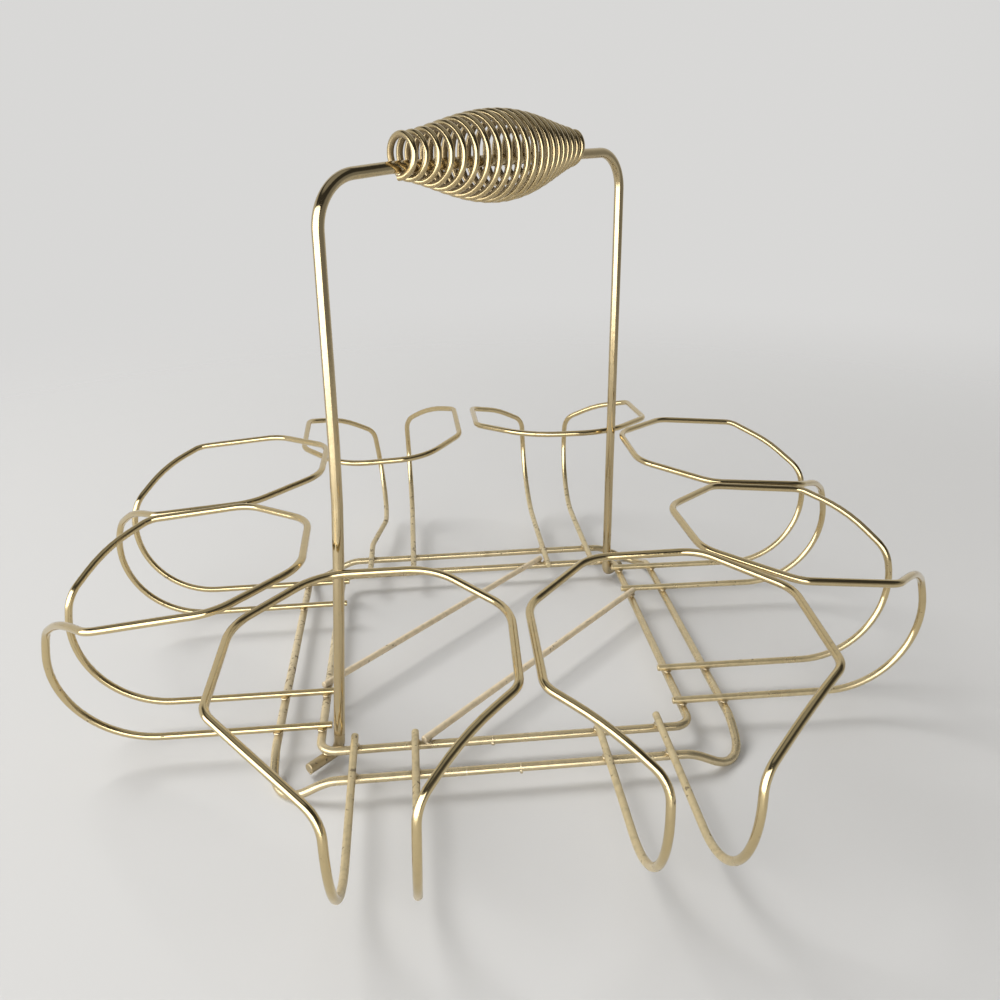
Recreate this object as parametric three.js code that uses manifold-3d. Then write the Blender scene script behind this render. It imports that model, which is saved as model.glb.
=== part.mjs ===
// Caddy for eight cocktail glasses, bent from brass-plated steel wire and welded at the crossings.
// Two square frames make the base, and the outer one dips at its corners to stand on the table.
// Millimetres, +Z up. The origin is the middle of the base on the table, and -Y is the front.
import * as THREE from 'three';
import { mergeVertices } from 'three/addons/utils/BufferGeometryUtils.js';
import Module from 'manifold-3d';

// Wire stock, as diameters
const FRAME_WIRE = 3.2;
const HOLDER_WIRE = 2.7;
const BRACE_WIRE = 2.7;
const HANDLE_WIRE = 4.0;
const COIL_WIRE = 2.3;
// Room left between two wires where they are welded
const WELD_GAP = 0.3;

// Ring of one holder, seen from above: an octagon that is open on its outer side
const RING_HALF = 42.4; // middle of the ring to its two side runs
const RING_SPACING = 4.6; // between the side runs of two neighbours on one side of the base
const SIDE_RUN = 38; // length of a side run
const INNER_EDGE_HALF = 18.9; // half of the edge nearest the handle
const OUTER_RUN = 24.3; // from a side run's outer corner out to the shoulder
const SIDE_CLEARANCE = 6.1; // inner corners of the side runs to the base's diagonal, along the side
const EDGE_CLEARANCE = 4.2; // ends of the inner edge to the base's diagonal, along the side
// Heights of the ring's corners over the table
const SHOULDER_HEIGHT = 57.3;
const OUTER_CORNER_HEIGHT = 72.8;
const INNER_CORNER_HEIGHT = 76;
const INNER_EDGE_HEIGHT = 78;
// Outer diagonals of the ring bow out and up by this much at their middles
const BOW_OUT = 1.1;
const BOW_UP = 3.7;
// A kinked leg swerves outside the outer frame, and its shoulder goes with it
const KINK_START = 12; // from the outer frame
const KINK_RUN = 30;
const KINK_BEND = 30;
const SHOULDER_SAG = 0.7; // of a shoulder that is drawn in, as a share of that

// Legs of one holder: two level wires that sweep up to the shoulders
const LEG_SPACING = 21.7;
const LEG_INSET = 4; // how far a leg's cut end reaches inside the inner frame
const SHOULDER_SPLAY = 1.7; // each shoulder stands this much further out than its leg
const UPRIGHT_LEAN = THREE.MathUtils.degToRad(11.8); // back towards the handle
// Bend radii along the holder's wire
const SWEEP_BEND = 32.8; // a kinked leg sweeps up more tightly, by as much as it swerves
const SHOULDER_BEND = 11.7;
const BOW_BEND = 60;
const OUTER_CORNER_BEND = 7.6;
const INNER_CORNER_BEND = 7.9;
const INNER_EDGE_BEND = 8.4;

// Base
const FRAME_SETOUT = 0.2; // inner frame stands this far outside the rings' inner edges
const FRAME_SPACING = 16; // inner frame to outer frame
const INNER_FRAME_BEND = 6;
const OUTER_FRAME_BEND = 13;
const FOOT_DROP = 6.2; // how far a corner of the outer frame dips
const FOOT_FLAT = 0.3; // depth worn off the underside of a foot
const FOOT_LEVEL = 1.2; // half of the level stretch at the middle of a foot
const DIP_REACH = 20.2; // middle of a foot to where the frame is level again
const DIP_STEPS = 14;
const BRACE_CLEARANCE = 4.5; // a brace to the next leg beside it, along the inner frame
const BRACE_OVERHANG = 1.4; // a brace's cut end past the middle of the inner frame's wire

// Handle, in the upright plane over one diagonal of the base
const HANDLE_HEIGHT = 202.1; // middle of the wire at the top
const LEFT_SETBACK = 2.5; // legs stand this far inside the frame's corners, past the weld
const RIGHT_SETBACK = 0.4;
const KNEE_HEIGHT = 98; // left leg leans in up to its knee
const KNEE_LEAN = 9.8;
const KNEE_BEND = 500;
const LEFT_TOP_LEAN = 2.2; // from the knee to the top corner
const LEFT_TOP_BEND = 16;
const SHOULDER_RUN = 31; // top run climbs from its left corner to here, then is level
const SHOULDER_RISE = 1.7;
const SHOULDER_EASE = 150;
const RIGHT_TOP_BEND = 15;
const STUB_LENGTH = 8; // cut end past the frame's corner

// Coiled grip
const COIL_MIDDLE = 8.1; // along the handle, from the middle of the base
const COIL_LENGTH = 96.2;
const COIL_WHOLE_TURNS = 20;
const COIL_LEFT_RADIUS = 6.3; // radii run to the middle of the wire
const COIL_RIGHT_RADIUS = 6;
const COIL_SWELL = 8.9; // how much the middle turns are wider than the ends
const COIL_FULLNESS = 1.45; // over 1 draws the barrel towards two cones
const COIL_SAG = 1.4; // how far the middle turns hang down
const CURL_STEPS = 8;

// Facets
const FRAME_SIDES = 8;
const HOLDER_SIDES = 6;
const COIL_SIDES = 5;
const ARC_STEP = Math.PI / 12;

// How each holder has been knocked out of true by hand, in millimetres and degrees:
// shift moves it along its side, inset draws its cut ends in, spread widens its legs, slew and reach
// move the sweep sideways and outwards, nipLeft and nipRight draw in a shoulder, kink swerves the right
// leg, sway and droop move the middles of the diagonals sideways and down, trimLeft and trimRight
// shorten the side runs, ease rounds the inner corners and arch the ends of the inner edge, widen opens
// the ring, out, along and lift move it, and twist, roll and tilt turn it.
const TRUE_SET = {
  shift: 0, inset: 0, spread: 0, slew: 0, reach: 0, nipLeft: 0, nipRight: 0, kink: 0, sway: 0, droop: 0,
  trimLeft: 0, trimRight: 0, ease: 0, arch: 0, widen: 0, out: 0, along: 0, lift: 0, twist: 0, roll: 0,
  tilt: 0,
};
const SIDES = [
  {
    name: 'front',
    first: {
      name: 'left', shift: 0.2, reach: -1, nipLeft: 2.3, nipRight: -1.2, sway: -1.7, trimRight: 3,
      ease: 11, arch: 14, out: 1.5, lift: 0.5, twist: -2, roll: 1, tilt: 1,
    },
    second: {
      name: 'right', shift: -0.4, spread: 0.8, reach: -1, ease: 5, arch: 6, out: -1, along: 2.4,
      twist: -0.5, roll: 0.5, tilt: 1,
    },
  },
  {
    name: 'right',
    first: {
      name: 'front', shift: -0.7, spread: 0.5, slew: -1.2, reach: -0.5, trimLeft: 4, ease: 2, arch: 6,
      out: -0.5, along: 0.2, twist: 1.5, roll: -0.5, tilt: 1,
    },
    second: {
      name: 'rear', shift: -1, slew: -1.6, reach: -1, droop: 1.5, trimRight: 1, ease: 4, arch: 8,
      out: -0.5, along: -0.5,
    },
  },
  {
    name: 'back',
    first: {
      name: 'right', inset: 3, spread: 0.5, reach: -1, droop: 1.5, ease: 3, arch: 24, out: -0.5,
      along: 0.5, lift: -1,
    },
    second: {
      name: 'left', shift: -1, inset: 3, spread: -0.5, reach: -1, kink: 6.6, ease: 5, arch: 17, widen: -4,
      out: -1.5, along: 2, lift: -4.5, twist: 1.5, roll: -2, tilt: -7.3,
    },
  },
  {
    name: 'left',
    first: {
      name: 'rear', shift: -0.9, spread: -0.2, slew: 1, reach: 3.3, ease: 9, arch: 9, out: 1.5,
      along: -0.1, lift: -0.5, roll: 0.7,
    },
    second: {
      name: 'front', shift: 1.1, slew: -0.6, reach: -0.2, ease: 9, arch: 9, out: 0.6, along: -0.1,
      lift: 1.5, twist: 1.5, tilt: 0.5,
    },
  },
];

// Places that follow from the sizes above
const ringOffset = RING_HALF + RING_SPACING / 2; // middle of a side to the middle of a ring
const innerEdgeReach = ringOffset + INNER_EDGE_HALF + EDGE_CLEARANCE; // from the middle of the base
const innerCornerReach = ringOffset + RING_HALF + SIDE_CLEARANCE;
const outerCornerReach = innerCornerReach + SIDE_RUN;
const shoulderReach = outerCornerReach + OUTER_RUN;
const innerFrameHalf = innerEdgeReach + FRAME_SETOUT;
const outerFrameHalf = innerFrameHalf + FRAME_SPACING;
const footHeight = FRAME_WIRE / 2 - FOOT_FLAT;
const frameHeight = footHeight + FOOT_DROP;
const legHeight = frameHeight + FRAME_WIRE / 2 + WELD_GAP + HOLDER_WIRE / 2;
const braceHeight = frameHeight + FRAME_WIRE / 2 + WELD_GAP + BRACE_WIRE / 2;
const braceOffset = (innerFrameHalf - ringOffset + LEG_SPACING / 2 + BRACE_CLEARANCE) / Math.SQRT2;
const handleWeld = (FRAME_WIRE + HANDLE_WIRE) / 2 + WELD_GAP;
const frameCornerReach = Math.SQRT2 * innerFrameHalf - (Math.SQRT2 - 1) * INNER_FRAME_BEND;

const UP = new THREE.Vector3(0, 0, 1);

// A run of wire given by the points where its section is drawn
class WirePath extends THREE.Curve {
  constructor(points, closed = false) {
    super();
    this.points = points;
    this.closed = closed;
    this.spans = closed ? points.length : points.length - 1;
  }

  at(index) {
    const count = this.points.length;
    return this.points[this.closed ? (index + count) % count : THREE.MathUtils.clamp(index, 0, count - 1)];
  }

  getPointAt(share, target = new THREE.Vector3()) {
    return target.copy(this.at(Math.round(share * this.spans)));
  }

  getTangentAt(share, target = new THREE.Vector3()) {
    const index = Math.round(share * this.spans);
    const here = this.at(index);
    const arriving = here.clone().sub(this.at(index - 1)).normalize();
    const leaving = this.at(index + 1).clone().sub(here).normalize();
    return target.copy(arriving).add(leaving).normalize();
  }
}

// Points along a wire, given its corners and the radius each is bent to
function bentWire(corners) {
  const points = [corners[0][0]];
  for (let i = 1; i < corners.length - 1; i += 1) {
    const [here, bend] = corners[i];
    const back = corners[i - 1][0].clone().sub(here).normalize();
    const onward = corners[i + 1][0].clone().sub(here).normalize();
    const turn = Math.PI - back.angleTo(onward);
    const start = here.clone().addScaledVector(back, bend * Math.tan(turn / 2));
    const toCentre = back.clone().add(onward).normalize();
    const centre = here.clone().addScaledVector(toCentre, bend / Math.cos(turn / 2));
    const axis = onward.clone().cross(back).normalize();
    const steps = Math.max(2, Math.ceil(turn / ARC_STEP));
    for (let k = 0; k <= steps; k += 1) {
      points.push(start.clone().sub(centre).applyAxisAngle(axis, (turn * k) / steps).add(centre));
    }
  }
  points.push(corners.at(-1)[0]);
  return points;
}

// A cut length of wire
function cutWire(points, diameter, sides) {
  const rim = Array.from({ length: sides }, (_, k) => {
    const angle = (2 * Math.PI * k) / sides;
    return new THREE.Vector2(Math.cos(angle), Math.sin(angle)).multiplyScalar(diameter / 2);
  });
  const extrudePath = new WirePath(points);
  return new THREE.ExtrudeGeometry(new THREE.Shape(rim), { steps: extrudePath.spans, extrudePath });
}

// A hoop of wire, welded end to end
function hoopWire(points, diameter, sides) {
  const path = new WirePath(points, true);
  return new THREE.TubeGeometry(path, path.spans, diameter / 2, sides, true);
}

const wasm = await Module();
wasm.setup();

function solidOf(geometry) {
  const bare = geometry.clone();
  bare.deleteAttribute('normal');
  bare.deleteAttribute('uv');
  const merged = mergeVertices(bare);
  const vertProperties = merged.getAttribute('position').array;
  const triVerts = new Uint32Array(merged.index.array);
  return new wasm.Manifold(new wasm.Mesh({ numProp: 3, vertProperties, triVerts }));
}

function geometryOf(solid) {
  const { vertProperties, triVerts } = solid.getMesh();
  const geometry = new THREE.BufferGeometry();
  geometry.setAttribute('position', new THREE.BufferAttribute(vertProperties, 3));
  geometry.setIndex(new THREE.BufferAttribute(triVerts, 1));
  geometry.computeVertexNormals();
  return geometry;
}

// One corner of a square hoop: places at a distance along the wire from the corner's middle
function cornerPoint(half, bend, distance, height, quarter) {
  const arcHalf = (bend * Math.PI) / 4;
  const onArc = THREE.MathUtils.clamp(distance, -arcHalf, arcHalf);
  const angle = Math.PI / 4 + onArc / bend;
  const straight = distance - onArc;
  const point = new THREE.Vector3(
    half - bend + bend * Math.cos(angle) - straight * Math.sin(angle),
    half - bend + bend * Math.sin(angle) + straight * Math.cos(angle),
    height,
  );
  return point.applyAxisAngle(UP, (quarter * Math.PI) / 2);
}

function innerFrame() {
  const arcHalf = (INNER_FRAME_BEND * Math.PI) / 4;
  const steps = Math.ceil(Math.PI / 2 / ARC_STEP);
  const points = [];
  for (let quarter = 0; quarter < 4; quarter += 1) {
    for (let k = 0; k <= steps; k += 1) {
      const distance = arcHalf * ((2 * k) / steps - 1);
      points.push(cornerPoint(innerFrameHalf, INNER_FRAME_BEND, distance, frameHeight, quarter));
    }
  }
  return hoopWire(points, FRAME_WIRE, FRAME_SIDES);
}

function outerFrame() {
  const points = [];
  for (let quarter = 0; quarter < 4; quarter += 1) {
    for (let k = 0; k <= DIP_STEPS; k += 1) {
      const distance = DIP_REACH * ((2 * k) / DIP_STEPS - 1);
      const rise = THREE.MathUtils.smoothstep(Math.abs(distance), FOOT_LEVEL, DIP_REACH);
      const height = footHeight + FOOT_DROP * rise;
      points.push(cornerPoint(outerFrameHalf, OUTER_FRAME_BEND, distance, height, quarter));
    }
  }
  const worn = new THREE.BoxGeometry(4 * outerFrameHalf, 4 * outerFrameHalf, FRAME_WIRE);
  worn.translate(0, 0, -FRAME_WIRE / 2);
  return geometryOf(solidOf(hoopWire(points, FRAME_WIRE, FRAME_SIDES)).subtract(solidOf(worn)));
}

// In the handle's frame X runs along its diagonal, to the rear right, and Y to the rear left
function brace(offset) {
  const half = Math.SQRT2 * (innerFrameHalf + BRACE_OVERHANG) - Math.abs(offset);
  const ends = [-half, half].map((along) => new THREE.Vector3(along, offset, braceHeight));
  return cutWire(ends, BRACE_WIRE, HOLDER_SIDES);
}

function handle() {
  const left = -(frameCornerReach - handleWeld - LEFT_SETBACK);
  const right = frameCornerReach - handleWeld - RIGHT_SETBACK;
  const topLeft = left + KNEE_LEAN + LEFT_TOP_LEAN;
  const stub = frameCornerReach + STUB_LENGTH;
  const stubHeight = frameHeight - handleWeld;
  const corners = [
    [-stub, stubHeight, 0],
    [left, stubHeight, handleWeld],
    [left + KNEE_LEAN, KNEE_HEIGHT, KNEE_BEND],
    [topLeft, HANDLE_HEIGHT - SHOULDER_RISE, LEFT_TOP_BEND],
    [topLeft + SHOULDER_RUN, HANDLE_HEIGHT, SHOULDER_EASE],
    [right, HANDLE_HEIGHT, RIGHT_TOP_BEND],
    [right, stubHeight, handleWeld],
    [stub, stubHeight, 0],
  ];
  const bent = bentWire(corners.map(([along, height, bend]) => [new THREE.Vector3(along, 0, height), bend]));
  return cutWire(bent, HANDLE_WIRE, FRAME_SIDES);
}

// The grip's wire starts square against the near side of the handle, winds round it and ends against
// the far side. Its end turns hang on the handle, so their middles stand over it.
function coilPoints() {
  const seat = (HANDLE_WIRE + COIL_WIRE) / 2 + WELD_GAP;
  const rest = HANDLE_WIRE / 2 + WELD_GAP;
  const liftOf = (radius) => radius * Math.cos(Math.PI / CURL_STEPS) - seat;
  const start = -Math.asin(liftOf(COIL_LEFT_RADIUS) / COIL_LEFT_RADIUS);
  const lastTurn = Math.PI + Math.asin(liftOf(COIL_RIGHT_RADIUS) / COIL_RIGHT_RADIUS);
  const sweep = lastTurn + COIL_WHOLE_TURNS * 2 * Math.PI - start;
  const steps = Math.round((sweep / (2 * Math.PI)) * CURL_STEPS);
  const from = COIL_MIDDLE - COIL_LENGTH / 2;
  const tail = (along, side, reach) => new THREE.Vector3(along, side * reach, HANDLE_HEIGHT);
  const points = [tail(from, -1, rest), tail(from, -1, rest + COIL_WIRE)];
  for (let k = 0; k < steps; k += 1) {
    const share = (k + 0.5) / steps;
    const swell = Math.sin(Math.PI * share) ** COIL_FULLNESS;
    const endRadius = THREE.MathUtils.lerp(COIL_LEFT_RADIUS, COIL_RIGHT_RADIUS, share);
    const radius = endRadius + COIL_SWELL * swell;
    const lift = liftOf(endRadius) - COIL_SAG * swell;
    const angle = start + sweep * share;
    points.push(new THREE.Vector3(
      from + COIL_LENGTH * share,
      -radius * Math.cos(angle),
      HANDLE_HEIGHT + lift + radius * Math.sin(angle),
    ));
  }
  points.push(tail(from + COIL_LENGTH, 1, rest + COIL_WIRE), tail(from + COIL_LENGTH, 1, rest));
  return points;
}

// Least room between two turns, from the points of the wire's middle line
function leastGap(points, diameter) {
  let least = Infinity;
  for (let i = 0; i < points.length; i += 1) {
    for (let j = i + CURL_STEPS / 2; j < points.length; j += 1) {
      least = Math.min(least, points[i].distanceTo(points[j]) - diameter);
    }
  }
  return least;
}

// In a side's frame X runs along the side, to the right seen from outside, and -Y points outwards
function holder(hand, set) {
  const middle = hand * ringOffset + set.shift;
  const pivot = new THREE.Vector3(0, -(innerEdgeReach + shoulderReach) / 2, OUTER_CORNER_HEIGHT);
  const degrees = THREE.MathUtils.degToRad;
  const turn = new THREE.Euler(degrees(set.tilt), degrees(-set.roll), degrees(set.twist), 'ZYX');
  const knock = new THREE.Vector3(set.along, -set.out, set.lift);
  const onRing = (side, along, reach, height) => {
    const point = new THREE.Vector3(side * along, -reach, height);
    return point.sub(pivot).applyEuler(turn).add(pivot).add(knock);
  };
  const ringHalf = RING_HALF + set.widen;
  const shoulderHalf = LEG_SPACING / 2 + SHOULDER_SPLAY;
  const sweepReach = shoulderReach + (SHOULDER_HEIGHT - legHeight) * Math.tan(UPRIGHT_LEAN) + set.reach;

  const half = (side) => {
    const leg = (side * (LEG_SPACING + set.spread)) / 2;
    const kink = side > 0 ? set.kink : 0;
    const kinkReach = outerFrameHalf + KINK_START;
    const onLeg = (along, reach) => new THREE.Vector3(along, -reach, legHeight);
    const swerve = [
      [onLeg(leg, kinkReach), KINK_BEND],
      [onLeg(leg - kink, kinkReach + KINK_RUN), KINK_BEND],
    ];
    const shoulder = onRing(side, shoulderHalf, shoulderReach, SHOULDER_HEIGHT);
    const drawnIn = side > 0 ? set.kink + set.nipRight : set.nipLeft;
    shoulder.add(new THREE.Vector3(-side * drawnIn, 0, -drawnIn * SHOULDER_SAG));
    const trim = side > 0 ? set.trimRight : set.trimLeft;
    const outerCorner = onRing(side, ringHalf, outerCornerReach - trim, OUTER_CORNER_HEIGHT);
    const bow = shoulder.clone().lerp(outerCorner, 0.5);
    bow.add(new THREE.Vector3(set.sway, -BOW_OUT, BOW_UP - set.droop));
    return [
      [onLeg(leg, innerFrameHalf - LEG_INSET - set.inset), 0],
      ...(kink ? swerve : []),
      [onLeg(leg + set.slew - kink, sweepReach), SWEEP_BEND - kink],
      [shoulder, SHOULDER_BEND],
      [bow, BOW_BEND],
      [outerCorner, OUTER_CORNER_BEND],
      [onRing(side, ringHalf, innerCornerReach, INNER_CORNER_HEIGHT), INNER_CORNER_BEND + set.ease],
      [onRing(side, INNER_EDGE_HALF, innerEdgeReach, INNER_EDGE_HEIGHT), INNER_EDGE_BEND + set.arch],
    ];
  };
  const points = bentWire([...half(-1), ...half(1).reverse()]);
  points.forEach((point) => point.setX(point.x + middle));
  return cutWire(points, HOLDER_WIRE, HOLDER_SIDES);
}

// Plating: the handle and holders are bright, the base frames and braces have gone dull
const bright = (color) => new THREE.MeshStandardMaterial({ color, metalness: 1, roughness: 0.25 });
const dull = (color) => new THREE.MeshStandardMaterial({ color, metalness: 1, roughness: 0.45 });

function named(name, geometry, material) {
  const mesh = new THREE.Mesh(geometry, material);
  mesh.name = name;
  return mesh;
}

const caddy = new THREE.Group();
caddy.add(named('inner_frame', innerFrame(), dull(0xb5a57c)));
caddy.add(named('outer_frame', outerFrame(), dull(0xb9a97f)));

const gripWire = coilPoints();
console.log(`coil_grip: least gap between turns ${leastGap(gripWire, COIL_WIRE).toFixed(2)} mm`);

const diagonal = new THREE.Group();
diagonal.rotation.z = Math.PI / 4;
diagonal.add(
  named('brace_rear_left', brace(braceOffset), dull(0xbcae86)),
  named('brace_front_right', brace(-braceOffset), dull(0xbcae86)),
  named('handle', handle(), bright(0xc8b27c)),
  named('coil_grip', cutWire(gripWire, COIL_WIRE, COIL_SIDES), bright(0xc4ab72)),
);
caddy.add(diagonal);

SIDES.forEach((side, quarter) => {
  const turned = new THREE.Group();
  turned.rotation.z = (quarter * Math.PI) / 2;
  [side.first, side.second].forEach((set, place) => {
    const geometry = holder(place === 0 ? -1 : 1, { ...TRUE_SET, ...set });
    turned.add(named(`holder_${side.name}_${set.name}`, geometry, bright(0xc9b98c)));
  });
  caddy.add(turned);
});

export default caddy;
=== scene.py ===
import math
import random
from collections import namedtuple

import bmesh
import bpy
from mathutils import Euler, Matrix, Quaternion, Vector, kdtree, noise


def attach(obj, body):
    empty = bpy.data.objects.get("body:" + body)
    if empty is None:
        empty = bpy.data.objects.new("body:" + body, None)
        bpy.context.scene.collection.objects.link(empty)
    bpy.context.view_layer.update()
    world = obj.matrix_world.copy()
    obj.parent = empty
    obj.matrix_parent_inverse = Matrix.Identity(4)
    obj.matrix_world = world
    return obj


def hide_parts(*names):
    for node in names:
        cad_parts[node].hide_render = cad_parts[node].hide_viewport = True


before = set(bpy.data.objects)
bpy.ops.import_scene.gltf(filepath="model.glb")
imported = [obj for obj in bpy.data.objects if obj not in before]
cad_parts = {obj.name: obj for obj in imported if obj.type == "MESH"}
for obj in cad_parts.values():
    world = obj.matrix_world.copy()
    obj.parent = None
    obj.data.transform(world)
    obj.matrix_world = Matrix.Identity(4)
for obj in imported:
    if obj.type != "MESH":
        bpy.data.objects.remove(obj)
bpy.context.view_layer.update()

MM = 0.001  # the caddy's sizes are in millimetres, the studio's in metres

# Wire stock, as diameters
FRAME_WIRE = 3.2
HOLDER_WIRE = 2.7
BRACE_WIRE = 2.7
HANDLE_WIRE = 4.0
COIL_WIRE = 2.3
WELD_GAP = 0.3  # between two wires that are welded together

# Ring of one holder, from the middle of the base
RING_HALF = 42.4
RING_OFFSET = 44.7
INNER_EDGE_HALF = 18.9
INNER_EDGE_REACH = 67.8
INNER_CORNER_REACH = 93.2
OUTER_CORNER_REACH = 131.2
SHOULDER_REACH = 155.5
SHOULDER_HEIGHT = 57.3
OUTER_CORNER_HEIGHT = 72.8
INNER_CORNER_HEIGHT = 76
INNER_EDGE_HEIGHT = 78
BOW = Vector((0, -1.1, 3.7))  # of each outer arm, at its middle
SHOULDER_SAG = 0.7  # for each millimetre that a shoulder is drawn in

# Legs of one holder
LEG_SPACING = 21.7
LEG_INSET = 4
SHOULDER_SPLAY = 1.7
UPRIGHT_LEAN = math.radians(11.8)
KINK_START = 12
KINK_RUN = 30
BENDS = {
    "kink": 30,
    "sweep": 32.8,  # less in a kinked leg, by as much as it swerves
    "shoulder": 11.7,
    "bow": 60,
    "outer_corner": 7.6,
    "inner_corner": 7.9,
    "inner_edge": 8.4,
}

# Base
INNER_FRAME_HALF = 68.0
OUTER_FRAME_HALF = 84.0
INNER_FRAME_BEND = 6
OUTER_FRAME_BEND = 13
FOOT_HEIGHT = 1.3  # of the wire's middle, so that its underside is cut flat
FOOT_DROP = 6.2
FOOT_LEVEL = 1.2
DIP_REACH = 20.2
FRAME_HEIGHT = FOOT_HEIGHT + FOOT_DROP
FRAME_TOP = FRAME_HEIGHT + FRAME_WIRE / 2
LEG_HEIGHT = FRAME_TOP + WELD_GAP + HOLDER_WIRE / 2
BRACE_HEIGHT = FRAME_TOP + WELD_GAP + BRACE_WIRE / 2
BRACE_OFFSET = 27.33
BRACE_OVERHANG = 1.4

# Handle, in the upright plane over one diagonal of the base
HANDLE_HEIGHT = 202.1
HANDLE_WELD = (FRAME_WIRE + HANDLE_WIRE) / 2 + WELD_GAP
FRAME_CORNER_REACH = math.sqrt(2) * INNER_FRAME_HALF - (math.sqrt(2) - 1) * INNER_FRAME_BEND
STUB_LENGTH = 8
STUB_REACH = FRAME_CORNER_REACH + STUB_LENGTH
STUB_HEIGHT = FRAME_HEIGHT - HANDLE_WELD
LEFT_LEG_PLAY = 2.5
LEFT_LEG = -(FRAME_CORNER_REACH - HANDLE_WELD - LEFT_LEG_PLAY)
LEFT_WAIST_HEIGHT = 98
LEFT_WAIST_LEAN = 9.8
LEFT_WAIST_BEND = 500
LEFT_TOP_LEAN = 12.0
LEFT_TOP_DROP = 1.7
LEFT_TOP_BEND = 16
TOP_RUN_FROM = 43.0  # where the top run levels out
TOP_RUN_BEND = 150
RIGHT_LEG_PLAY = 0.4
RIGHT_LEG = FRAME_CORNER_REACH - HANDLE_WELD - RIGHT_LEG_PLAY
RIGHT_TOP_BEND = 15
DIAGONAL = math.pi / 4
TO_DIAGONAL = Matrix.Rotation(DIAGONAL, 4, "Z")

# Coiled grip
COIL_FROM = -41.1
COIL_LENGTH = 96.8
COIL_TURNS = 20.8
COIL_STEPS = 36  # in a turn
COIL_SEAT = (HANDLE_WIRE + COIL_WIRE) / 2  # radius of a turn that hugs the handle
COIL_LEFT_RADIUS = 6.1
COIL_RIGHT_RADIUS = 5.95
COIL_FLARE = 0.45  # of the first turn
COIL_SWELL = 8.7
COIL_FULLNESS = 1.45
COIL_SAG = 1.45
COIL_CREEP = 0.9  # the wide turns stand further apart than the rest
COIL_CREEP_SWING = 1.4 * math.pi
COIL_TUCK = 0.4  # of a turn, in which the far end closes on the handle

# How each holder has been knocked out of true, in millimetres and degrees, and how dull and pitted its
# level legs have gone
TRUE_SET = dict.fromkeys((
    "shift inset spread slew reach nip_left nip_right kink sway droop trim_left trim_right ease arch "
    "widen out along lift twist roll tilt"
).split(), 0)
HOLDERS = {
    "front_left": dict(hand=-1, quarter=0, dull=0.9, pits=0.35, shift=0.2, reach=-1, nip_left=2.3,
                       nip_right=-1.2, sway=-1.7, trim_right=3, ease=11, arch=14, out=1.5, lift=0.5,
                       twist=-2, roll=1, tilt=1),
    "front_right": dict(hand=1, quarter=0, dull=0.8, pits=0.25, shift=-0.4, spread=0.8, reach=-1, ease=5,
                        arch=6, out=-1, along=2.4, twist=-0.5, roll=0.5, tilt=1),
    "right_front": dict(hand=-1, quarter=1, dull=0.5, pits=0.15, shift=-0.7, spread=0.5, slew=-1.2,
                        reach=-0.5, trim_left=4, ease=2, arch=6, out=-0.5, along=0.2, twist=1.5,
                        roll=-0.5, tilt=1),
    "right_rear": dict(hand=1, quarter=1, dull=0.5, pits=0.15, shift=-1, slew=-1.6, reach=-1, droop=1.5,
                       trim_right=1, ease=4, arch=8, out=-0.5, along=-0.5),
    "back_right": dict(hand=-1, quarter=2, dull=0.9, pits=0.55, inset=3, spread=0.5, reach=-1, droop=1.5,
                       ease=3, arch=24, out=-0.5, along=0.5, lift=-1),
    "back_left": dict(hand=1, quarter=2, dull=0.9, pits=0.55, shift=-1, inset=3, spread=-0.5, reach=-1,
                      kink=6.6, ease=5, arch=17, widen=-4, out=-1.5, along=2, lift=-4.5, twist=1.5,
                      roll=-2, tilt=-7.3),
    "left_rear": dict(hand=-1, quarter=3, dull=0.1, pits=0.1, shift=-0.9, spread=-0.2, slew=1, reach=3.3,
                      ease=9, arch=9, out=1.5, along=-0.1, lift=-0.5, roll=0.7),
    "left_front": dict(hand=1, quarter=3, dull=0.1, pits=0.1, shift=1.1, slew=-0.6, reach=-0.2, ease=9,
                       arch=9, out=0.6, along=-0.1, lift=1.5, twist=1.5, tilt=0.5),
}

# Welds, and other marks that the welder left
WELD_HEIGHT = FRAME_TOP + WELD_GAP / 2
FOOT_WELD_INSET = 1.5
FOOT_WELD_DROP = 0.4
COIL_WELDS = (  # along the coil, to the handle's far side and under its middle
    (1.8, -0.8, 2.3),
    (COIL_LENGTH, 2, 0.6),
)
INNER_BUTT = -5.7  # along the front side, as the next two
OUTER_BUTT = 2.7
MEND = -16.2
BACK_BUTT = 1.4  # along the back, as the next
STAIN = 5.3
INNER_DRIP = Vector((0, -0.7, -0.6))
OUTER_DRIP = Vector((0, -0.8, -0.9))
BURR_OUT = 0.1
BURR_ASIDE = 1.1
BURR_UNDER = 1.1
BEAD_SEED = 11
BEAD_SIZES = (0.95, 1.05)
BEAD_LUMPS = 0.12
BEAD_LUMPS_PER_MM = 1.3
SOOT_REACH = 3.0  # of the darker plating round a weld

# Surface of the wires
ARC_STEP = math.radians(5)
STRIDE = 1.5  # between two sections
LEAST_STEP = STRIDE / 20
WAVER = 0.1  # how far a wire wanders off its line
WAVER_LENGTH = 45
WAVER_SEED = 7
WAVER_START = (7, 3)  # in the noise, beside how long the wire's name is
END_CHAMFER = 0.25
SEAM = 0.01  # points closer than this are one
SHARP_EDGE = math.radians(40)

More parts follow.
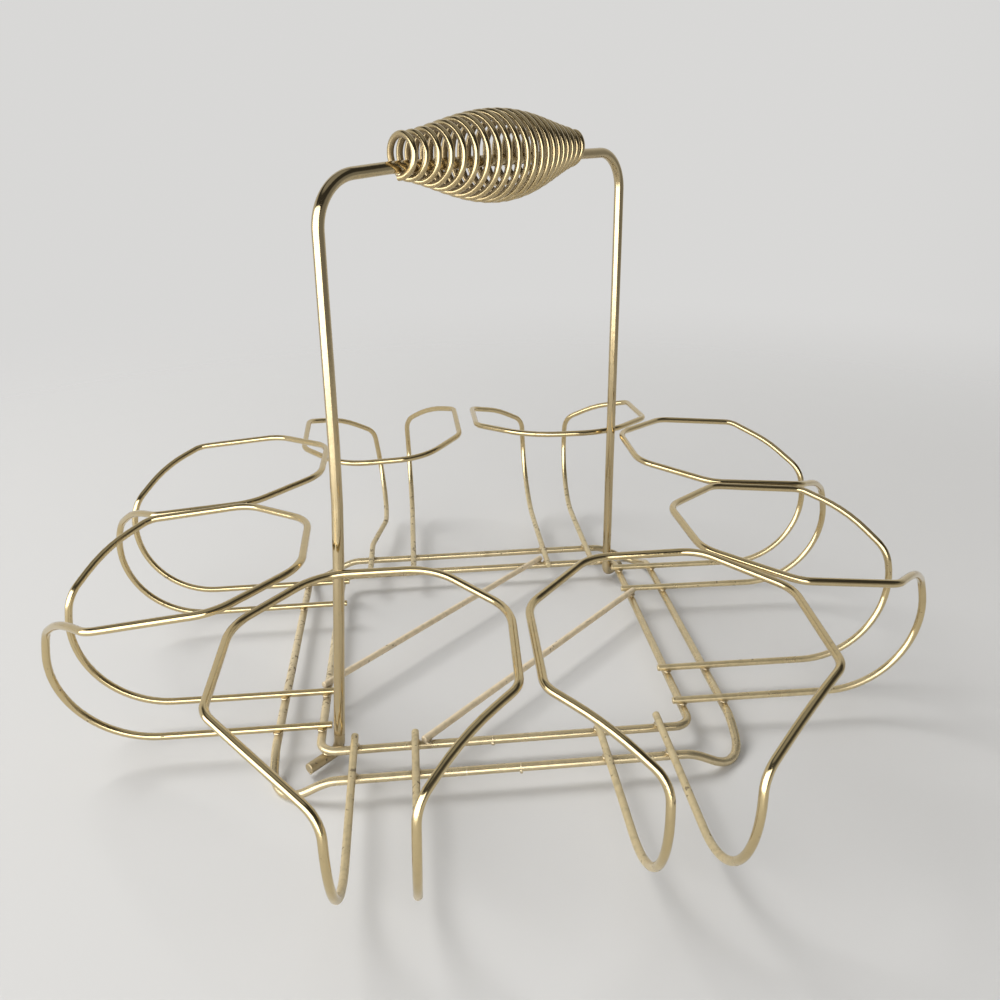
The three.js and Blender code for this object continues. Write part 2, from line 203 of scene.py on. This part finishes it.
# Wear as how dull and how pitted the plating is, at its best and at its worst
LEG_WEAR = (0.15, 0.3)  # each holder adds its own to it
LEG_WEAR_HEIGHTS = (34, 13)
BASE_WEAR = ((0.45, 0.4), (0.9, 0.85))
BASE_WEAR_ACROSS = (-58, -66)  # worst along the left side
BASE_WEAR_ALONG = (72, 56)
HANDLE_WEAR = ((0.1, 0.2), (0.9, 0.95))
HANDLE_WEAR_HEIGHTS = (16, 6)
# On the coil, dull film darkens the inside of the turns: painted shade between the turns, over a lightly
# worn outside
COIL_WEAR_AND_SHADE = ((0.15, 0.1), (0.95, 0.1))
# Depths across the coil's wire over which the painted shade comes in, from its outside to its inside
COIL_SHADE_DEPTHS = (0.7, -0.7)
BRACE_WEAR = (0.9, 0.5)
BEAD_WEAR = (0.4, 0.4)

# Stains on the plating
MOTTLE = (0.3, 0.25, 0.15, 1)
SOOT = (0.2, 0.14, 0.07, 1)
PIT = (0.08, 0.055, 0.03, 1)

# Studio, with the camera's turns in radians
FLOOR_RADIUS = 1.3
FLOOR_FADE = (0.22, 0.85)
FLOOR_COLOUR = (0.56, 0.555, 0.545, 1)
FLOOR_SIDES = 96
BACKDROP_FRONT = (0.27, 0.267, 0.26, 1)
BACKDROP_BEHIND = (0.69, 0.685, 0.675, 1)
CEILING = (0.05, 0.048, 0.045, 1)
OVERHEAD = (0.36, 0.355, 0.34, 1)
CAMERA_PLACE = (-0.0259, -0.3369, 0.2162)
CAMERA_YAW = -0.08987
CAMERA_PITCH = 0.40009
CAMERA_ROLL = -0.01653
CAMERA_LENS = 32.597
CAMERA_SENSOR = 36
CAMERA_NEAR = 0.01


def smoothstep(low, high, value):
    share = min(max((value - low) / (high - low), 0), 1)
    return share * share * (3 - 2 * share)


# Paths of the wires
def bent_wire(corners):
    """Points along a wire, given its corners and the radius each is bent to."""
    points = [corners[0][0]]
    for (before, _), (here, bend), (after, _) in zip(corners, corners[1:], corners[2:]):
        back, onward = (before - here).normalized(), (after - here).normalized()
        turn = math.pi - back.angle(onward)
        start = here + back * (bend * math.tan(turn / 2))
        centre = here + (back + onward).normalized() * (bend / math.cos(turn / 2))
        steps = max(2, math.ceil(turn / ARC_STEP))
        for k in range(steps + 1):
            swing = Quaternion(onward.cross(back), turn * k / steps)
            points.append(centre + swing @ (start - centre))
    return points + [corners[-1][0]]


def in_strides(points):
    """The same path with a point at every stride."""
    fine = [points[0]]
    for here in points[1:]:
        last = fine[-1]
        gap = (here - last).length
        if gap < LEAST_STEP:
            continue
        count = max(1, round(gap / STRIDE))
        fine += [last.lerp(here, (k + 1) / count) for k in range(count)]
    return fine


def to_side(quarter):
    """Turns what lies on the front side of the base to one of its other sides."""
    return Matrix.Rotation(quarter * math.pi / 2, 4, "Z")


def holder_path(hand, quarter, **knocks):
    """One holder: along a leg, up, round the ring and back along the other leg."""
    bent = {**TRUE_SET, **knocks}
    pivot = Vector((0, -(INNER_EDGE_REACH + SHOULDER_REACH) / 2, OUTER_CORNER_HEIGHT))
    tilt, roll, twist = (math.radians(bent[name]) for name in ("tilt", "roll", "twist"))
    turn = Euler((tilt, -roll, twist), "XYZ").to_matrix()
    knock = Vector((bent["along"], -bent["out"], bent["lift"]))
    rise = SHOULDER_HEIGHT - LEG_HEIGHT
    sweep_reach = SHOULDER_REACH + rise * math.tan(UPRIGHT_LEAN) + bent["reach"]
    kink_reach = OUTER_FRAME_HALF + KINK_START

    def on_ring(along, reach, height):
        return turn @ (Vector((along, -reach, height)) - pivot) + pivot + knock

    def half(side):
        leg = side * (LEG_SPACING + bent["spread"]) / 2
        kink = bent["kink"] if side > 0 else 0
        drawn_in = kink + bent["nip_right"] if side > 0 else bent["nip_left"]
        trim = bent["trim_right"] if side > 0 else bent["trim_left"]
        ring_half = side * (RING_HALF + bent["widen"])
        shoulder = on_ring(side * (LEG_SPACING / 2 + SHOULDER_SPLAY), SHOULDER_REACH, SHOULDER_HEIGHT)
        shoulder += Vector((-side * drawn_in, 0, -drawn_in * SHOULDER_SAG))
        outer_corner = on_ring(ring_half, OUTER_CORNER_REACH - trim, OUTER_CORNER_HEIGHT)
        inner_corner = on_ring(ring_half, INNER_CORNER_REACH, INNER_CORNER_HEIGHT)
        inner_edge = on_ring(side * INNER_EDGE_HALF, INNER_EDGE_REACH, INNER_EDGE_HEIGHT)
        bow = shoulder.lerp(outer_corner, 0.5) + BOW + Vector((bent["sway"], 0, -bent["droop"]))
        swerve = [
            (Vector((leg, -kink_reach, LEG_HEIGHT)), BENDS["kink"]),
            (Vector((leg - kink, -kink_reach - KINK_RUN, LEG_HEIGHT)), BENDS["kink"]),
        ]
        return [
            (Vector((leg, LEG_INSET + bent["inset"] - INNER_FRAME_HALF, LEG_HEIGHT)), 0),
            *(swerve if kink else []),
            (Vector((leg + bent["slew"] - kink, -sweep_reach, LEG_HEIGHT)), BENDS["sweep"] - kink),
            (shoulder, BENDS["shoulder"]),
            (bow, BENDS["bow"]),
            (outer_corner, BENDS["outer_corner"]),
            (inner_corner, BENDS["inner_corner"] + bent["ease"]),
            (inner_edge, BENDS["inner_edge"] + bent["arch"]),
        ]

    place = to_side(quarter) @ Matrix.Translation((hand * RING_OFFSET + bent["shift"], 0, 0))
    return [place @ point for point in bent_wire(half(-1) + half(1)[::-1])]


def hoop_path(half, bend, weld_at, dips):
    """A square hoop from its butt weld on the front side right round to it again."""
    arc_half = bend * math.pi / 4
    quarter_length = 2 * (half - bend) + 2 * arc_half
    count = round(4 * quarter_length / STRIDE)
    points = []
    for k in range(count + 1):
        along = weld_at + 4 * quarter_length * k / count
        corner = math.floor(along / quarter_length)
        distance = along - (corner + 0.5) * quarter_length
        on_arc = min(max(distance, -arc_half), arc_half)
        angle = math.pi / 4 + on_arc / bend
        straight = distance - on_arc
        dip = FOOT_DROP * (1 - smoothstep(FOOT_LEVEL, DIP_REACH, abs(distance))) if dips else 0
        point = Vector((
            half - bend + bend * math.cos(angle) - straight * math.sin(angle),
            half - bend + bend * math.sin(angle) + straight * math.cos(angle),
            FRAME_HEIGHT - dip,
        ))
        points.append(Matrix.Rotation((corner - 1) * math.pi / 2, 3, "Z") @ point)
    return points


def brace_path(offset):
    half = math.sqrt(2) * (INNER_FRAME_HALF + BRACE_OVERHANG) - abs(offset)
    return [TO_DIAGONAL @ Vector((along, offset, BRACE_HEIGHT)) for along in (-half, half)]


def handle_path():
    """From one cut stub up the left leg, over the top and down the right leg to the other."""
    corners = [
        (-STUB_REACH, STUB_HEIGHT, 0),
        (LEFT_LEG, STUB_HEIGHT, HANDLE_WELD),
        (LEFT_LEG + LEFT_WAIST_LEAN, LEFT_WAIST_HEIGHT, LEFT_WAIST_BEND),
        (LEFT_LEG + LEFT_TOP_LEAN, HANDLE_HEIGHT - LEFT_TOP_DROP, LEFT_TOP_BEND),
        (LEFT_LEG + TOP_RUN_FROM, HANDLE_HEIGHT, TOP_RUN_BEND),
        (RIGHT_LEG, HANDLE_HEIGHT, RIGHT_TOP_BEND),
        (RIGHT_LEG, STUB_HEIGHT, HANDLE_WELD),
        (STUB_REACH, STUB_HEIGHT, 0),
    ]
    bent = bent_wire([(Vector((along, 0, height)), bend) for along, height, bend in corners])
    return [TO_DIAGONAL @ point for point in bent]


def coil_turn(share):
    """Radius of a turn at a share of the coil's length, and how far its middle is over the handle."""
    swell = math.sin(math.pi * share) ** COIL_FULLNESS
    flare = COIL_FLARE * math.exp(-share * COIL_TURNS)
    end_radius = COIL_LEFT_RADIUS + (COIL_RIGHT_RADIUS - COIL_LEFT_RADIUS) * share + flare
    tuck = smoothstep(1 - COIL_TUCK / COIL_TURNS, 1, share)
    radius = (end_radius + COIL_SWELL * swell) * (1 - tuck) + COIL_SEAT * tuck
    lift = (end_radius - COIL_SEAT - COIL_SAG * swell) * (1 - tuck)
    return radius, lift


def coil_path():
    """A beehive of close turns: the first starts under the handle, the last closes on its far side."""
    steps = round(COIL_TURNS * COIL_STEPS)
    points = []
    for k in range(steps + 1):
        share = k / steps
        radius, lift = coil_turn(share)
        angle = -math.pi / 2 + 2 * math.pi * COIL_TURNS * share
        points.append(TO_DIAGONAL @ Vector((
            COIL_FROM + COIL_LENGTH * share + COIL_CREEP * math.sin(COIL_CREEP_SWING * share),
            -radius * math.cos(angle),
            HANDLE_HEIGHT + lift + radius * math.sin(angle),
        )))
    return points


# Places where wires are welded
crossings = []
for knocks in HOLDERS.values():
    bent = {**TRUE_SET, **knocks}
    middle = bent["hand"] * RING_OFFSET + bent["shift"]
    for side in (-1, 1):
        along = middle + side * (LEG_SPACING + bent["spread"]) / 2
        for reach in (INNER_FRAME_HALF, OUTER_FRAME_HALF):
            crossings.append(to_side(bent["quarter"]) @ Vector((along, -reach, WELD_HEIGHT)))
brace_end = math.sqrt(2) * INNER_FRAME_HALF - BRACE_OFFSET
brace_ends = [
    TO_DIAGONAL @ Vector((sign * brace_end, offset, WELD_HEIGHT))
    for offset in (-BRACE_OFFSET, BRACE_OFFSET)
    for sign in (-1, 1)
]
foot_weld_height = FRAME_HEIGHT - FRAME_WIRE / 2 - FOOT_WELD_DROP
handle_feet = [
    TO_DIAGONAL @ Vector((sign * (FRAME_CORNER_REACH - FOOT_WELD_INSET), 0, foot_weld_height))
    for sign in (-1, 1)
]
coil_ends = [
    TO_DIAGONAL @ Vector((COIL_FROM + along, beyond, HANDLE_HEIGHT - under))
    for along, beyond, under in COIL_WELDS
]
inner_butt = Vector((INNER_BUTT, -INNER_FRAME_HALF, FRAME_HEIGHT))
outer_butt = Vector((OUTER_BUTT, -OUTER_FRAME_HALF, FRAME_HEIGHT))
back_butt = Vector((BACK_BUTT, INNER_FRAME_HALF, FRAME_HEIGHT))
mend = Vector((MEND, -OUTER_FRAME_HALF, FRAME_HEIGHT))
stain = Vector((STAIN, OUTER_FRAME_HALF, FRAME_HEIGHT))
burr = TO_DIAGONAL @ Vector((-STUB_REACH - BURR_OUT, -BURR_ASIDE, STUB_HEIGHT - BURR_UNDER))
sooty_spots = crossings + brace_ends + handle_feet + coil_ends + [stain]
soot_tree = kdtree.KDTree(len(sooty_spots))
for index, spot in enumerate(sooty_spots):
    soot_tree.insert(spot, index)
soot_tree.balance()


# Finishes
class Tone:
    """A socket of a finish: sums on it add Math nodes to the same tree."""

    def __init__(self, tree, socket=None):
        self.tree, self.socket = tree, socket

    def node(self, kind, settings, sockets, out=0):
        made = self.tree.nodes.new(kind)
        for name, value in settings.items():
            setattr(made, name, value)
        for key, value in sockets.items():
            if isinstance(value, Tone):
                self.tree.links.new(value.socket, made.inputs[key])
            else:
                made.inputs[key].default_value = value
        return Tone(self.tree, made.outputs[out] if made.outputs else None)

    def maths(self, operation, first, second):
        return self.node("ShaderNodeMath", {"operation": operation}, {0: first, 1: second})

    def __add__(self, other):
        return self.maths("ADD", self, other)

    def __sub__(self, other):
        return self.maths("SUBTRACT", self, other)

    def __mul__(self, other):
        return self.maths("MULTIPLY", self, other)

    def __rsub__(self, other):
        return self.maths("SUBTRACT", other, self)

    __radd__, __rmul__ = __add__, __mul__

    def ramped(self, low, high):
        """From 0 at the low value, smoothly, to 1 at the high one."""
        sockets = {"Value": self, "From Min": low, "From Max": high}
        return self.node("ShaderNodeMapRange", {"interpolation_type": "SMOOTHSTEP"}, sockets)

    def mixed(self, first, second):
        """This as the share of the second of two colours."""
        return self.node("ShaderNodeMix", {"data_type": "RGBA"}, {0: self, 6: first, 7: second}, 2)


def brass(name, fresh, film, gloss, haze, cover):
    """Brass plating: bright where fresh, filmed over where dull, with brown pits and weld soot.

    Gloss and haze are how rough the fresh and the filmed plating are, and cover is how far the film
    hides the metal.
    """
    finish = bpy.data.materials.new(name)
    finish.use_nodes = True
    finish.node_tree.nodes.clear()
    tree = Tone(finish.node_tree)
    place = tree.node("ShaderNodeTexCoord", {}, {}, "Object")

    def speckle(scale, detail):
        sockets = {"Vector": place, "Scale": scale, "Detail": detail, "Roughness": 0.6}
        return tree.node("ShaderNodeTexNoise", {}, sockets)

    def wear(layer):
        return tree.node("ShaderNodeAttribute", {"attribute_name": layer}, {}, "Fac")

    clouds, grain, flecks = speckle(60, 2), speckle(400, 2), speckle(560, 1.5)
    dull, pits, soot = wear("dull"), wear("pits"), wear("soot")
    # On the coil, dull stands for painted shade inside the turns, so there this film lays on painted
    # shade
    filmed = (dull * (0.6 + 0.8 * clouds)).ramped(0.1, 0.95)
    pitted = (flecks + 0.5 * (clouds - 0.5) + 0.25 * (pits - 1)).ramped(0.57, 0.63)
    sooted = (soot * (0.3 + 1.1 * grain)).ramped(0.15, 0.95) * 0.5
    plating = filmed.mixed((*fresh, 1), (*film, 1))
    mottled = (grain.ramped(0.4, 0.75) * (0.1 + 0.25 * filmed)).mixed(plating, MOTTLE)
    browned = sooted.mixed(mottled, SOOT)
    stained = (pitted * 0.75).mixed(browned, PIT)
    height = grain - 0.8 * pitted
    ripple = tree.node("ShaderNodeBump", {}, {"Height": height, "Strength": 0.08, "Distance": 0.0004})
    shader = tree.node("ShaderNodeBsdfPrincipled", {}, {
        "Base Color": stained,
        "Metallic": 1 - 0.5 * pitted - cover * filmed,
        "Roughness": gloss + (haze - gloss) * filmed + 0.2 * pitted + 0.1 * sooted,
        "Normal": ripple,
    })
    tree.node("ShaderNodeOutputMaterial", {}, {"Surface": shader})
    return finish


holder_brass = brass("holder_brass", fresh=(0.63, 0.505, 0.28), film=(0.63, 0.52, 0.31),
                     gloss=0.12, haze=0.36, cover=0.35)
handle_brass = brass("handle_brass", fresh=(0.54, 0.435, 0.255), film=(0.46, 0.37, 0.22),
                     gloss=0.1, haze=0.4, cover=0.35)
# The coil's dark film colour is painted shade, laid on inside the turns
coil_brass = brass("coil_brass", fresh=(0.56, 0.445, 0.245), film=(0.25, 0.185, 0.095),
                   gloss=0.12, haze=0.34, cover=0.35)
base_brass = brass("base_brass", fresh=(0.62, 0.51, 0.3), film=(0.63, 0.53, 0.345),
                   gloss=0.15, haze=0.45, cover=0.6)
brace_brass = brass("brace_brass", fresh=(0.72, 0.6, 0.38), film=(0.7, 0.58, 0.4),
                    gloss=0.2, haze=0.45, cover=0.8)
weld_brass = brass("weld_brass", fresh=(0.78, 0.68, 0.47), film=(0.68, 0.57, 0.4),
                   gloss=0.18, haze=0.4, cover=0.35)


# Wear of each wire at a spot
def worn(best, worst, share):
    return [low + (high - low) * share for low, high in zip(best, worst)]


def leg_wear(dull, pits):
    """Wear of a holder whose level legs have gone as dull and as pitted as this."""
    worst = (LEG_WEAR[0] + dull, LEG_WEAR[1] + pits)
    return lambda spot: worn(LEG_WEAR, worst, smoothstep(*LEG_WEAR_HEIGHTS, spot.z))


def base_wear(spot):
    left = smoothstep(*BASE_WEAR_ACROSS, spot.x) * smoothstep(*BASE_WEAR_ALONG, abs(spot.y))
    return worn(*BASE_WEAR, left)


def brace_wear(spot):
    return BRACE_WEAR


def handle_wear(spot):
    return worn(*HANDLE_WEAR, smoothstep(*HANDLE_WEAR_HEIGHTS, spot.z))


def coil_wear_and_shade(spot):
    """Painted shade: dull dark film on the inside of the turns, where shade falls between them, over a
    lightly worn outside.
    """
    place = TO_DIAGONAL.inverted() @ spot
    radius, lift = coil_turn(min(max((place.x - COIL_FROM) / COIL_LENGTH, 0), 1))
    depth = math.hypot(place.y, place.z - HANDLE_HEIGHT - lift) - radius
    return worn(*COIL_WEAR_AND_SHADE, smoothstep(*COIL_SHADE_DEPTHS, depth))


def bead_wear(spot):
    return BEAD_WEAR


# Wires as meshes
def drawn_wire(bm, points, diameter, sides, chamfer):
    """Rolls a flat grid into a round wire along the points, without twisting it."""
    if chamfer:
        first = points[0].lerp(points[1], chamfer / (points[1] - points[0]).length)
        final = points[-1].lerp(points[-2], chamfer / (points[-1] - points[-2]).length)
        points = [points[0], first, *points[1:-1], final, points[-1]]
    last = len(points) - 1
    tangents = [
        (points[min(k + 1, last)] - points[max(k - 1, 0)]).normalized()
        for k in range(last + 1)
    ]
    turn = tangents[0].to_track_quat("Z", "Y")
    sections = []
    for k, (point, tangent) in enumerate(zip(points, tangents)):
        turn = tangents[max(k - 1, 0)].rotation_difference(tangent) @ turn
        radius = diameter / 2 - (chamfer if k in (0, last) else 0)
        sections.append(Matrix.LocRotScale(point, turn, Vector((radius, radius, 1))))
    sheet = bmesh.ops.create_grid(bm, x_segments=sides, y_segments=last, size=1)["verts"]
    for vert in sheet:
        around, along = vert.co.x * math.pi, round((vert.co.y + 1) / 2 * last)
        vert.co = sections[along] @ Vector((math.cos(around), math.sin(around), 0))
    bmesh.ops.remove_doubles(bm, verts=bm.verts, dist=SEAM)
    bmesh.ops.holes_fill(bm, edges=bm.edges, sides=0)


def finished(bm, name, finish, wear):
    """Makes the mesh an object, in metres, with its wear, and on the coil its painted shade, painted on
    as attributes.
    """
    bmesh.ops.recalc_face_normals(bm, faces=bm.faces)
    dull, pits, soot = (bm.verts.layers.float.new(layer) for layer in ("dull", "pits", "soot"))
    for vert in bm.verts:
        vert[dull], vert[pits] = wear(vert.co)
        vert[soot] = math.exp(-((soot_tree.find(vert.co)[2] / SOOT_REACH) ** 2))
    for face in bm.faces:
        face.smooth = True
    bmesh.ops.scale(bm, vec=Vector((MM, MM, MM)), verts=bm.verts)
    mesh = bpy.data.meshes.new(name)
    bm.to_mesh(mesh)
    bm.free()
    mesh.set_sharp_from_angle(angle=SHARP_EDGE)
    mesh.materials.append(finish)
    piece = bpy.data.objects.new(name, mesh)
    bpy.context.scene.collection.objects.link(piece)
    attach(piece, "root")
    return piece


Stock = namedtuple("Stock", "diameter sides finish slot")
holder_stock = Stock(HOLDER_WIRE, 14, holder_brass, "holder_wire")
frame_stock = Stock(FRAME_WIRE, 16, base_brass, "base_wire")
brace_stock = Stock(BRACE_WIRE, 14, brace_brass, "base_wire")
handle_stock = Stock(HANDLE_WIRE, 20, handle_brass, "handle_wire")
coil_stock = Stock(COIL_WIRE, 14, coil_brass, "coil_wire")


def wire_piece(name, node, points, stock, wear, chamfer=END_CHAMFER, waver=WAVER, feet=False):
    """A wire of the given stock, which stands for a node. Feet are cut flat at floor level."""
    bm = bmesh.new()
    start = Vector((len(name), *WAVER_START))
    wandering = [
        point + waver * noise.noise_vector(point / WAVER_LENGTH + start)
        for point in points
    ]
    drawn_wire(bm, wandering, stock.diameter, stock.sides, chamfer)
    if feet:
        everything = bm.verts[:] + bm.edges[:] + bm.faces[:]
        bmesh.ops.bisect_plane(bm, geom=everything, plane_no=Vector((0, 0, -1)), clear_outer=True)
        bmesh.ops.holes_fill(bm, edges=bm.edges, sides=0)
    piece = finished(bm, name, stock.finish, wear)
    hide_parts(node)


# Pieces
noise.seed_set(WAVER_SEED)  # unset, the waver would follow the clock
for name, holder in HOLDERS.items():
    knocks = dict(holder)
    wear = leg_wear(knocks.pop("dull"), knocks.pop("pits"))
    points = in_strides(holder_path(**knocks))
    wire_piece(f"ring_wire_{name}", f"holder_{name}", points, holder_stock, wear)

inner_hoop = hoop_path(INNER_FRAME_HALF, INNER_FRAME_BEND, inner_butt.x, dips=False)
wire_piece("base_hoop_inner", "inner_frame", inner_hoop, frame_stock, base_wear, chamfer=0)
outer_hoop = hoop_path(OUTER_FRAME_HALF, OUTER_FRAME_BEND, outer_butt.x, dips=True)
wire_piece("base_hoop_outer", "outer_frame", outer_hoop, frame_stock, base_wear, chamfer=0, feet=True)
for name, offset in (("rear_left", BRACE_OFFSET), ("front_right", -BRACE_OFFSET)):
    points = in_strides(brace_path(offset))
    wire_piece(f"cross_brace_{name}", f"brace_{name}", points, brace_stock, brace_wear)
wire_piece("carry_handle", "handle", in_strides(handle_path()), handle_stock, handle_wear)
wire_piece("beehive_grip", "coil_grip", coil_path(), coil_stock, coil_wear_and_shade, waver=0)


def weld_beads():
    """Weld metal that has run into the corners where two wires cross, and the hoops' butt welds."""
    chance = random.Random(BEAD_SEED)
    bm = bmesh.new()
    for spots, half_sizes, heading in (
        (crossings, Vector((1.75, 1.75, 0.75)), 0),
        (brace_ends, Vector((1.8, 1.8, 0.75)), DIAGONAL),
        (handle_feet, Vector((2.3, 2.3, 1.1)), DIAGONAL),
        (coil_ends, Vector((2.6, 1.5, 1.3)), DIAGONAL),
        ((inner_butt, outer_butt, back_butt), Vector((0.5, 1.85, 1.85)), 0),
        ((mend,), Vector((1.5, 1.72, 1.72)), 0),
        ((inner_butt + INNER_DRIP,), Vector((1.1, 1.2, 1.1)), 0),
        ((outer_butt + OUTER_DRIP,), Vector((0.7, 1.15, 1.2)), 0),
        ((burr,), Vector((0.5, 0.4, 0.6)), DIAGONAL),
    ):
        for spot in spots:
            scale = half_sizes * chance.uniform(*BEAD_SIZES)
            lump = Matrix.LocRotScale(spot, Euler((0, 0, heading)), scale)
            bmesh.ops.create_icosphere(bm, subdivisions=3, radius=1, matrix=lump)
    for vert in bm.verts:
        vert.co += BEAD_LUMPS * noise.noise_vector(vert.co * BEAD_LUMPS_PER_MM)
    finished(bm, "weld_beads", weld_brass, bead_wear)


weld_beads()


# Studio
def pale_floor():
    """Paint that fades into the backdrop a little way from the caddy."""
    finish = bpy.data.materials.new("pale_floor")
    finish.use_nodes = True
    finish.node_tree.nodes.clear()
    tree = Tone(finish.node_tree)
    place = tree.node("ShaderNodeTexCoord", {}, {}, "Object")
    reach = tree.node("ShaderNodeVectorMath", {"operation": "LENGTH"}, {0: place}, "Value")
    sockets = {"Base Color": FLOOR_COLOUR, "Roughness": 0.85}
    paint = tree.node("ShaderNodeBsdfPrincipled", {}, sockets)
    clear = tree.node("ShaderNodeBsdfTransparent", {}, {})
    faded = tree.node("ShaderNodeMixShader", {}, {0: reach.ramped(*FLOOR_FADE), 1: paint, 2: clear})
    tree.node("ShaderNodeOutputMaterial", {}, {"Surface": faded})
    return finish


bm = bmesh.new()
bmesh.ops.create_circle(bm, cap_ends=True, radius=FLOOR_RADIUS, segments=FLOOR_SIDES)
mesh = bpy.data.meshes.new("floor")
bm.to_mesh(mesh)
bm.free()
mesh.materials.append(pale_floor())
floor = bpy.data.objects.new("floor", mesh)
bpy.context.scene.collection.objects.link(floor)

# The backdrop is palest and highest behind, under a dim ceiling that is lighter straight overhead
world = bpy.data.worlds.new("studio")
bpy.context.scene.world = world
world.use_nodes = True
world.node_tree.nodes.clear()
sky = Tone(world.node_tree)
heading = sky.node("ShaderNodeTexCoord", {}, {}, "Generated")
rightward, backward, upward = (
    sky.node("ShaderNodeSeparateXYZ", {}, {0: heading}, axis)
    for axis in range(3)
)
behind = (backward - 0.5 * rightward).ramped(-0.6, 0.7)
tall = (backward + 0.3 * rightward).ramped(0.2, 0.7)
backdrop = behind.mixed(BACKDROP_FRONT, BACKDROP_BEHIND)
ceiling = upward.ramped(0.8, 0.93).mixed(CEILING, OVERHEAD)
tint = (upward - 0.36 * behind - 0.27 * tall).ramped(0.12, 0.38).mixed(backdrop, ceiling)
glow = sky.node("ShaderNodeBackground", {}, {"Color": tint, "Strength": 1})
sky.node("ShaderNodeOutputWorld", {}, {"Surface": glow})


def soft_lamp(name, place, aim, width, height, watts, mirrored):
    lamp = bpy.data.lights.new(name, "AREA")
    lamp.shape = "RECTANGLE"
    lamp.size, lamp.size_y, lamp.energy = width, height, watts
    stand = bpy.data.objects.new(name, lamp)
    stand.location = place
    stand.rotation_euler = (Vector(aim) - Vector(place)).to_track_quat("-Z", "Y").to_euler()
    stand.visible_camera = False
    stand.visible_glossy = mirrored
    bpy.context.scene.collection.objects.link(stand)


soft_lamp("key_lamp", place=(-1.8, 1.44, 2.6), aim=(0, 0, 0.05), width=1.6, height=1.6, watts=95,
          mirrored=False)
soft_lamp("side_lamp", place=(-0.8, -1.02, 0.2), aim=(0, 0, 0.2), width=3.2, height=1.8, watts=66,
          mirrored=True)

camera_data = bpy.data.cameras.new("camera")
camera_data.sensor_width = CAMERA_SENSOR
camera_data.lens = CAMERA_LENS
camera_data.clip_start = CAMERA_NEAR
camera = bpy.data.objects.new("camera", camera_data)
across = Vector((math.cos(CAMERA_YAW), math.sin(CAMERA_YAW), 0))
ahead = Vector((
    -math.sin(CAMERA_YAW) * math.cos(CAMERA_PITCH),
    math.cos(CAMERA_YAW) * math.cos(CAMERA_PITCH),
    -math.sin(CAMERA_PITCH),
))
above = across.cross(ahead)
rolled = Matrix.Rotation(-CAMERA_ROLL, 3, ahead)
facing = Matrix((rolled @ across, rolled @ above, -ahead)).transposed()
camera.matrix_world = Matrix.Translation(CAMERA_PLACE) @ facing.to_4x4()
bpy.context.scene.collection.objects.link(camera)
bpy.context.scene.camera = camera
bpy.context.scene.view_settings.view_transform = "Standard"
